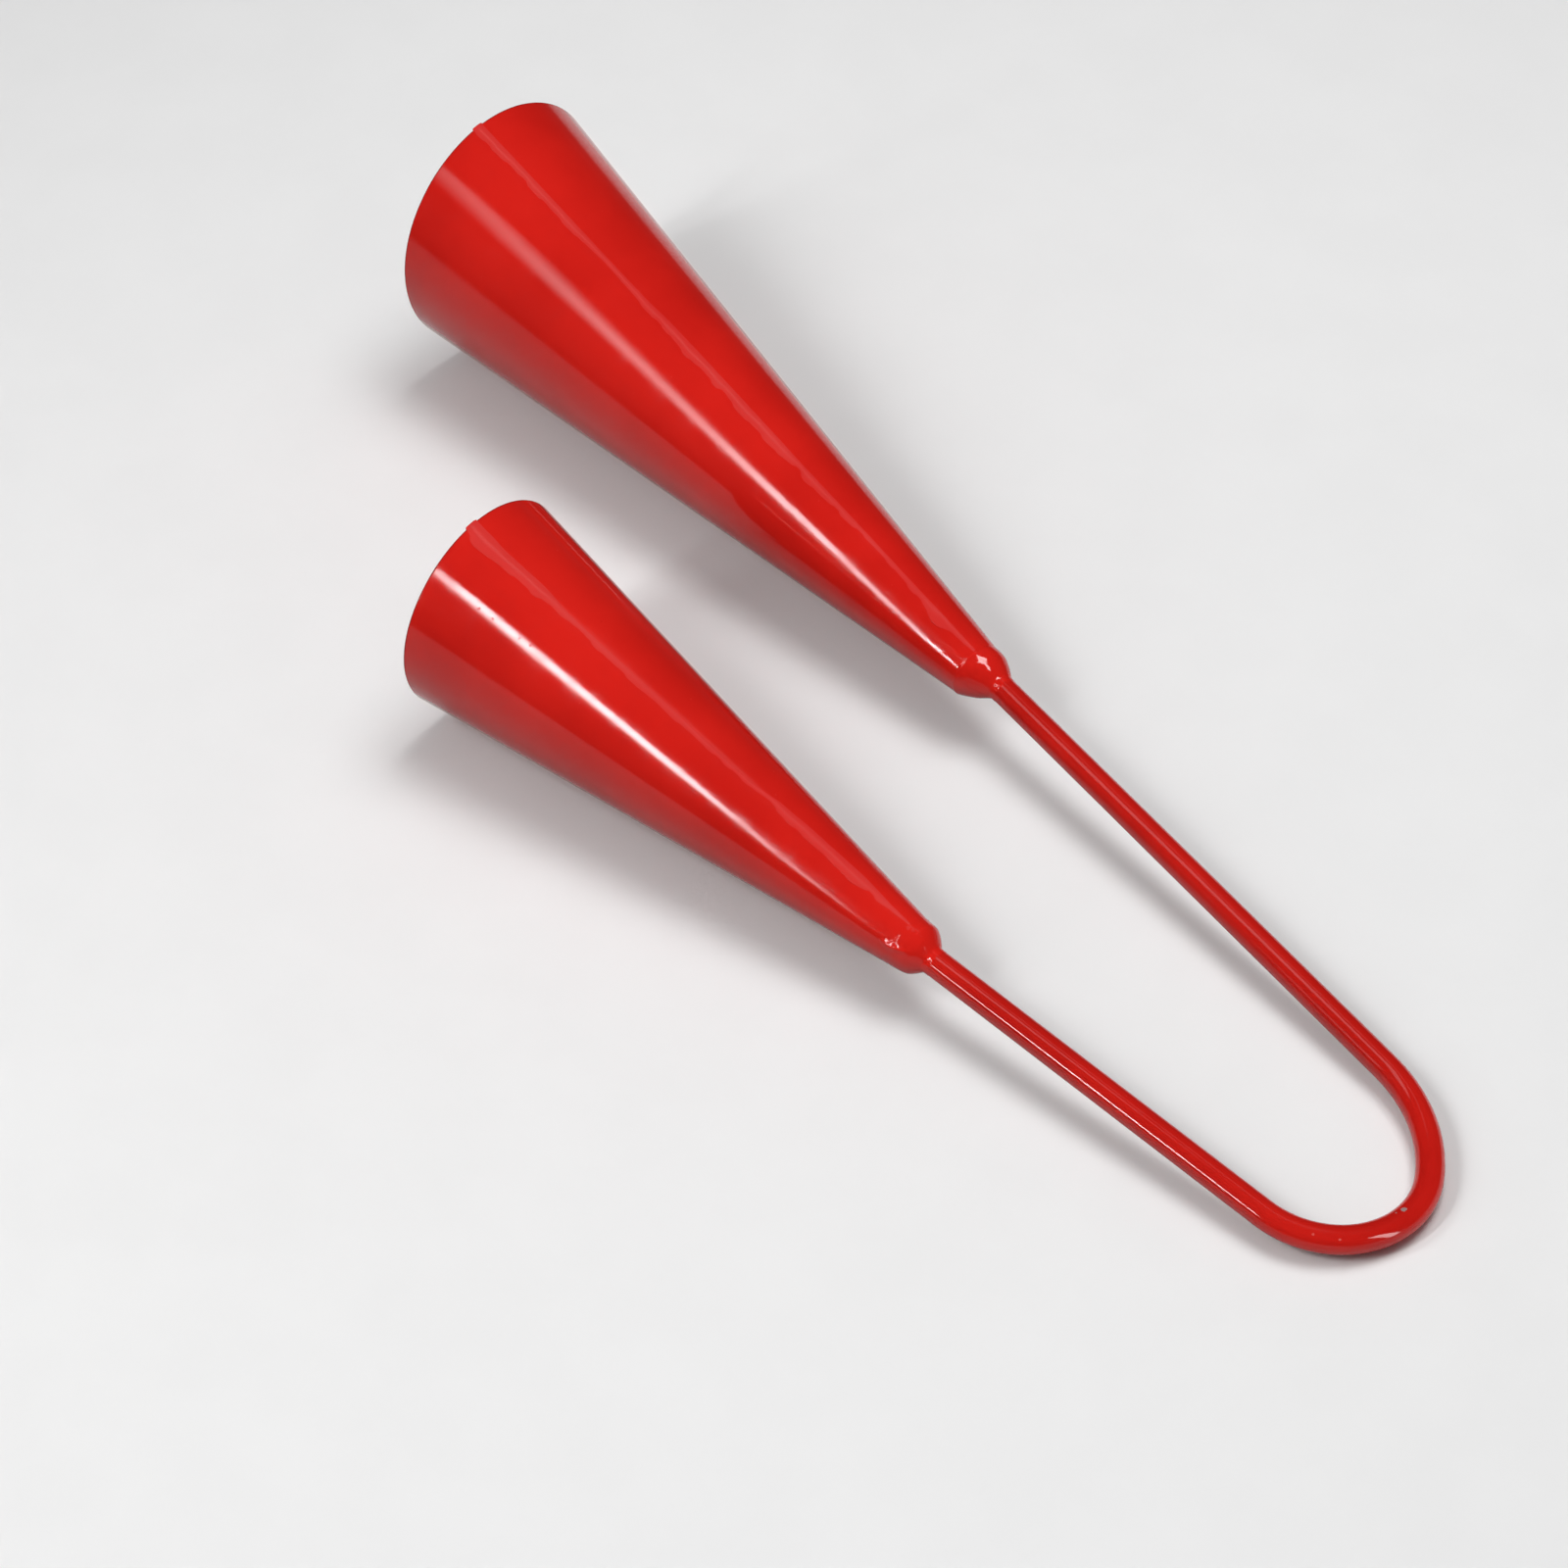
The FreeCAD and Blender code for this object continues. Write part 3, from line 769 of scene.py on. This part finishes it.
def makeFloor():
    middle = Vector(shot["target"])
    profile = [(radius, 0.0) for radius in (*ground["flat"], ground["radius"])]
    steps = ground["curveSteps"]
    for i in range(1, steps + 1):
        angle = math.pi / 2 * i / steps
        profile.append((ground["radius"] + ground["curve"] * math.sin(angle),
                        ground["curve"] * (1 - math.cos(angle))))
    profile.append((ground["radius"] + ground["curve"], ground["top"]))
    count = ground["around"]
    points = [middle + spoke(360 * j / count, radius) + Vector((0, 0, height))
              for radius, height in profile for j in range(count)]
    faces = [tuple(range(count))] + [face[::-1] for face in ringFaces(len(profile), count)]
    mesh = bpy.data.meshes.new("studioFloor")
    mesh.from_pydata([p * mm for p in points], [], faces)
    for face in mesh.polygons:
        face.use_smooth = True
    floor = bpy.data.objects.new("studioFloor", mesh)
    bpy.context.scene.collection.objects.link(floor)
    material = bpy.data.materials.new("paleFloor")
    material.use_nodes = True
    tree = material.node_tree
    tree.nodes.clear()
    wire = Wire(tree)
    place = wire.make("TexCoord", output="Object")
    grain = wire.make("TexNoise", None, {"Vector": place, "Scale": ground["grainScale"], "Detail": 4.0})
    shade = tuple(c * ground["grainShade"] for c in ground["colour"][:3]) + (1,)
    tint = grain.eased(*ground["grain"]).mixed(ground["colour"], shade)
    away = wire.make("VectorMath", {"operation": "LENGTH"}, {0: place}, "Value")
    right = studio.to_3x3() @ Vector(ground["rightWay"])
    aside = wire.make("VectorMath", {"operation": "DOT_PRODUCT"}, {0: place, 1: right}, "Value")
    # painted shade: the floor and backdrop darken away from the object, more on the left, and go nearly black
    # towards the top edge
    far = aside.eased(*ground["sides"]).mixed(ground["farLeftShade"], ground["farRightShade"])
    tint = away.eased(*ground["fade"]).mixed(tint, far)
    tint = away.eased(*ground["edgeFade"]).mixed(tint, ground["edge"])
    shader = wire.make("BsdfPrincipled", None, {
        "Base Color": tint, "Roughness": ground["roughness"], "Specular IOR Level": ground["specular"],
    })
    wire.make("OutputMaterial", None, {"Surface": shader})
    mesh.materials.append(material)
    return floor


def addLamp(name, matrix, width, length, radiance):
    data = bpy.data.lights.new(name, "AREA")
    data.shape = "RECTANGLE"
    data.size = width * mm
    data.size_y = length * mm
    data.energy = math.pi * data.size * data.size_y * radiance
    lamp = bpy.data.objects.new(name, data)
    bpy.context.scene.collection.objects.link(lamp)
    lamp.matrix_world = Matrix.Scale(mm, 4) @ matrix @ Matrix.Scale(1 / mm, 4)
    lamp.visible_camera = False
    return lamp


def frameOf(middle, across, along):
    # a lamp's matrix from its middle and the directions of its width and length; it shines towards -Z
    x, y = Vector(across).normalized(), Vector(along).normalized()
    z = x.cross(y)
    y = z.cross(x)
    matrix = Matrix((x, y, z)).transposed().to_4x4()
    matrix.translation = middle
    return studio @ matrix


def aimed(azimuth, rise, distance):
    # a lamp's matrix in a direction from the target, turned to it; azimuth 0 is away from the camera
    flat = math.cos(math.radians(rise))
    way = Vector((math.sin(math.radians(azimuth)) * flat, math.cos(math.radians(azimuth)) * flat,
                  math.sin(math.radians(rise))))
    across = Vector((0, 1, 0)).cross(way)
    return frameOf(way * distance, across, way.cross(across))


# curved softboxes on a wall to the left, hidden from the camera: for each station its place along the wall,
# the lower and upper edge, the glow, and the share of the height over which it fades at the top
panels = {
    "large": ((-226, 145, 255, 105, 0.05), (-195, 268, 393, 38, 0.05), (-152, 374, 570, 32, 0.1),
              (-120, 418, 642, 18, 0.25), (-80, 452, 738, 9.5, 0.45), (0, 455, 868, 4.6, 0.5),
              (75, 485, 958, 2.6, 0.5)),
    "small": ((-430, 150, 290, 5, 0.1), (-411, 280, 400, 24, 0.05), (-387, 410, 548, 42, 0.05),
              (-343, 485, 695, 48, 0.05), (-290, 555, 775, 44, 0.1), (-213, 650, 895, 48, 0.2)),
    "rod": ((-430, 195, 262, 45, 0.1), (-330, 186, 256, 80, 0.1), (-281, 178, 252, 32, 0.2),
            (-230, 170, 265, 7, 0.3), (-177, 170, 400, 1.6, 0.4), (-140, 200, 420, 0.6, 0.5)),
}
panelLook = {"wall": -500.0, "full": 70.0, "rows": 14, "soft": 0.52, "columns": 6}


def lightOnly(lamp, pieces):
    group = bpy.data.collections.new(lamp.name + "Receivers")
    for piece in pieces:
        group.objects.link(piece)
    lamp.light_linking.receiver_collection = group


def addPanel(name, stations):
    rows = panelLook["rows"]
    points, glows = [], []
    columns = 0
    for near, far in zip(stations, stations[1:]):
        for k in range(panelLook["columns"]):
            y, low, high, glow, top = (a + (b - a) * k / panelLook["columns"] for a, b in zip(near, far))
            columns += 1
            for i in range(rows + 1):
                share = i / rows
                points.append(studio @ Vector((panelLook["wall"], y, low + (high - low) * share)))
                fade = stepUp(0, panelLook["soft"], share) * (1 - stepUp(1 - top, 1, share))
                glows.append(glow * fade / panelLook["full"])
    faces = []
    for i in range(columns - 1):
        for j in range(rows):
            a, b = i * (rows + 1) + j, (i + 1) * (rows + 1) + j
            faces.append((a, b, b + 1, a + 1))
    mesh = bpy.data.meshes.new(name + "Panel")
    mesh.from_pydata([p * mm for p in points], [], faces)
    colours = mesh.attributes.new("glow", "FLOAT_COLOR", "POINT")
    for item, glow in zip(colours.data, glows):
        item.color = (glow, glow, glow, 1)
    panel = bpy.data.objects.new(name + "Panel", mesh)
    bpy.context.scene.collection.objects.link(panel)
    panel.visible_camera = False
    material = bpy.data.materials.new(name + "PanelGlow")
    material.use_nodes = True
    tree = material.node_tree
    tree.nodes.clear()
    wire = Wire(tree)
    glow = wire.make("Attribute", {"attribute_name": "glow"})
    shader = wire.make("BsdfPrincipled", None, {
        "Base Color": (0, 0, 0, 1), "Roughness": 1.0, "Specular IOR Level": 0.0, "Emission Color": glow,
        "Emission Strength": panelLook["full"],
    })
    wire.make("OutputMaterial", None, {"Surface": shader})
    mesh.materials.append(material)
    return panel


floor = makeFloor()
floor.visible_diffuse = False
bellPieces = shells + seams + welds
for name, stations in panels.items():
    lightOnly(addPanel(name, stations), [rod] if name == "rod" else bellPieces + [floor])

strip = {
    "middle": (83, 408, 1000),
    "across": (0.728, 0.686, 0),
    "along": (-0.686, 0.728, 0),
    "width": 100,
    "length": 560,
    "radiance": 0.9,
}
addLamp("topStrip", frameOf(Vector(strip["middle"]), strip["across"], strip["along"]),
        strip["width"], strip["length"], strip["radiance"])
# azimuth, rise, distance, width, length and radiance
softs = {
    "above": (45, 72, 1100, 560, 560, 6.0),
    "fill": (35, 82, 1700, 2000, 2000, 0.36),
    "left": (-105, 22, 1000, 500, 400, 1.9),
    "front": (140, 10, 1000, 600, 300, 9.5),
    "rodSide": (-100, 40, 900, 500, 500, 1.8),
}
# mirrored by the paint, without lighting it
glints = {
    "glintHigh": (127, 65, 900, 240, 480, 20),
    "glintLow": (126, 13, 900, 800, 150, 12),
    "glintDot": (130, 13, 900, 200, 120, 13),
    "rodSoft": (-62, 68, 900, 420, 180, 2.4),
}
receivers = {
    "left": bellPieces + [rod],
    "front": bellPieces + [rod],
    "rodSide": [rod],
    "glintHigh": [welds[0]],
    "glintLow": [rod],
    "glintDot": welds,
    "rodSoft": [rod],
}
for name, (azimuth, rise, distance, width, length, radiance) in (softs | glints).items():
    lamp = addLamp(name, aimed(azimuth, rise, distance), width, length, radiance)
    lamp.visible_glossy = name in glints
    lamp.visible_diffuse = name in softs
    if name in receivers:
        lightOnly(lamp, receivers[name])

surroundings = {"colour": (0.11, 0.11, 0.11, 1), "strength": 1.0}
world = bpy.data.worlds.new("studioWorld")
world.use_nodes = True
background = world.node_tree.nodes["Background"]
background.inputs["Color"].default_value = surroundings["colour"]
background.inputs["Strength"].default_value = surroundings["strength"]
world.cycles_visibility.glossy = False
bpy.context.scene.world = world

cameraData = bpy.data.cameras.new("photoCamera")
cameraData.lens = shot["lens"]
cameraData.sensor_width = shot["sensor"]
camera = bpy.data.objects.new("photoCamera", cameraData)
bpy.context.scene.collection.objects.link(camera)
back = Matrix.Rotation(math.radians(90 - shot["rise"]), 4, "X") @ Matrix.Translation((0, 0, shot["distance"]))
camera.matrix_world = Matrix.Scale(mm, 4) @ studio @ back @ Matrix.Scale(1 / mm, 4)
bpy.context.scene.camera = camera
bpy.context.scene.view_settings.view_transform = "Standard"
print("lit")

bpy.context.view_layer.update()
